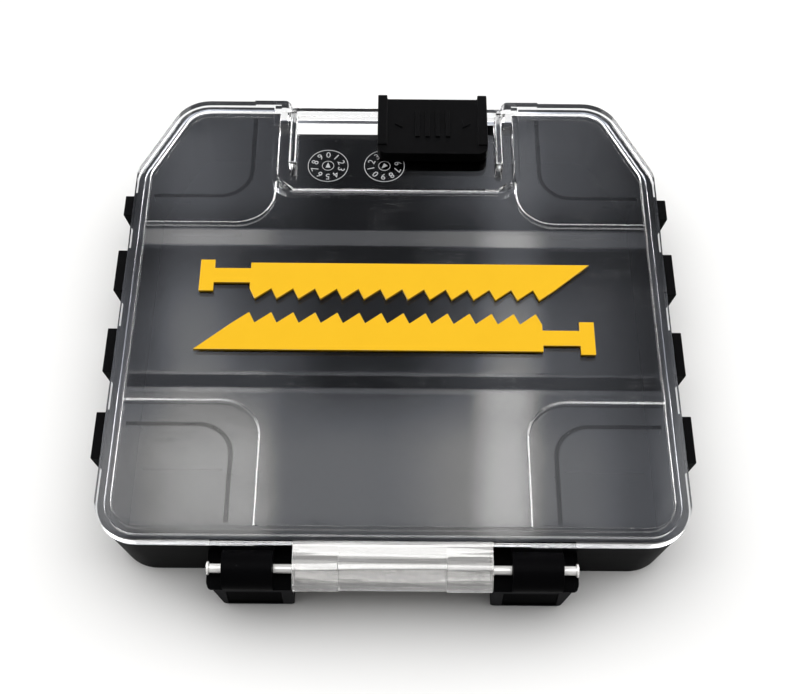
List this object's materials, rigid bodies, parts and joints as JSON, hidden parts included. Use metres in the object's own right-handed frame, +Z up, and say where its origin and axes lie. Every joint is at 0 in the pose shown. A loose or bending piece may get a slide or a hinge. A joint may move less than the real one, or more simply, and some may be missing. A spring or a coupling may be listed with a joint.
{
  "type": "saw blade storage case",
  "caption": "Flat black storage tray with ribbed sides, a clear hinged lid with a raised yellow saw blade emblem, and a sliding latch on a rail.",
  "frame": {"origin": "centre of the bounding box's underside, on the surface that the case stands on", "axes": "+X along the hinge, to the right seen from the hinge side; +Y from the hinge towards the latch; +Z up"},
  "size_m": [0.1568, 0.1556, 0.0259],
  "materials": {
    "black_tray": "fine textured moulding",
    "clear_lid": "clear and polished, lightly scuffed",
    "yellow_emblem": "satin print on raised faces",
    "black_latch": "fine textured moulding"
  },
  "bodies": {
    "base": {"base_tray": "black_tray", "grip_ribs_left": "black_tray", "grip_ribs_right": "black_tray", "latch_keeper": "black_tray", "blade_rests": "black_tray", "hinge_knuckle_left": "black_tray", "hinge_knuckle_right": "black_tray"},
    "lid": {"lid_cover": "clear_lid", "latch_ledge": "clear_lid", "latch_rail": "clear_lid", "hinge_bar": "clear_lid", "hinge_pin_left": "clear_lid", "hinge_pin_right": "clear_lid", "pin_collar_left": "clear_lid", "pin_collar_right": "clear_lid", "hold_down_wall_near_left": "clear_lid", "hold_down_wall_near_right": "clear_lid", "hold_down_wall_far_left": "clear_lid", "hold_down_wall_far_right": "clear_lid", "emblem_blade_upper": "yellow_emblem", "emblem_blade_lower": "yellow_emblem"},
    "latch": {"latch_slider": "black_latch", "latch_grip_ribs": "black_latch", "latch_arrows": "black_latch"}
  },
  "joints": [
    {"name": "lid_hinge", "type": "hinge", "parent": "base", "child": "lid", "pos_m": [0, -0.07225, 0.0186], "axis": [1, 0, 0], "range_deg": [0, 175]},
    {"name": "latch_slide", "type": "slide", "parent": "lid", "child": "latch", "axis": [1, 0, 0], "range_m": [-0.0234, 0.0018]}
  ]
}
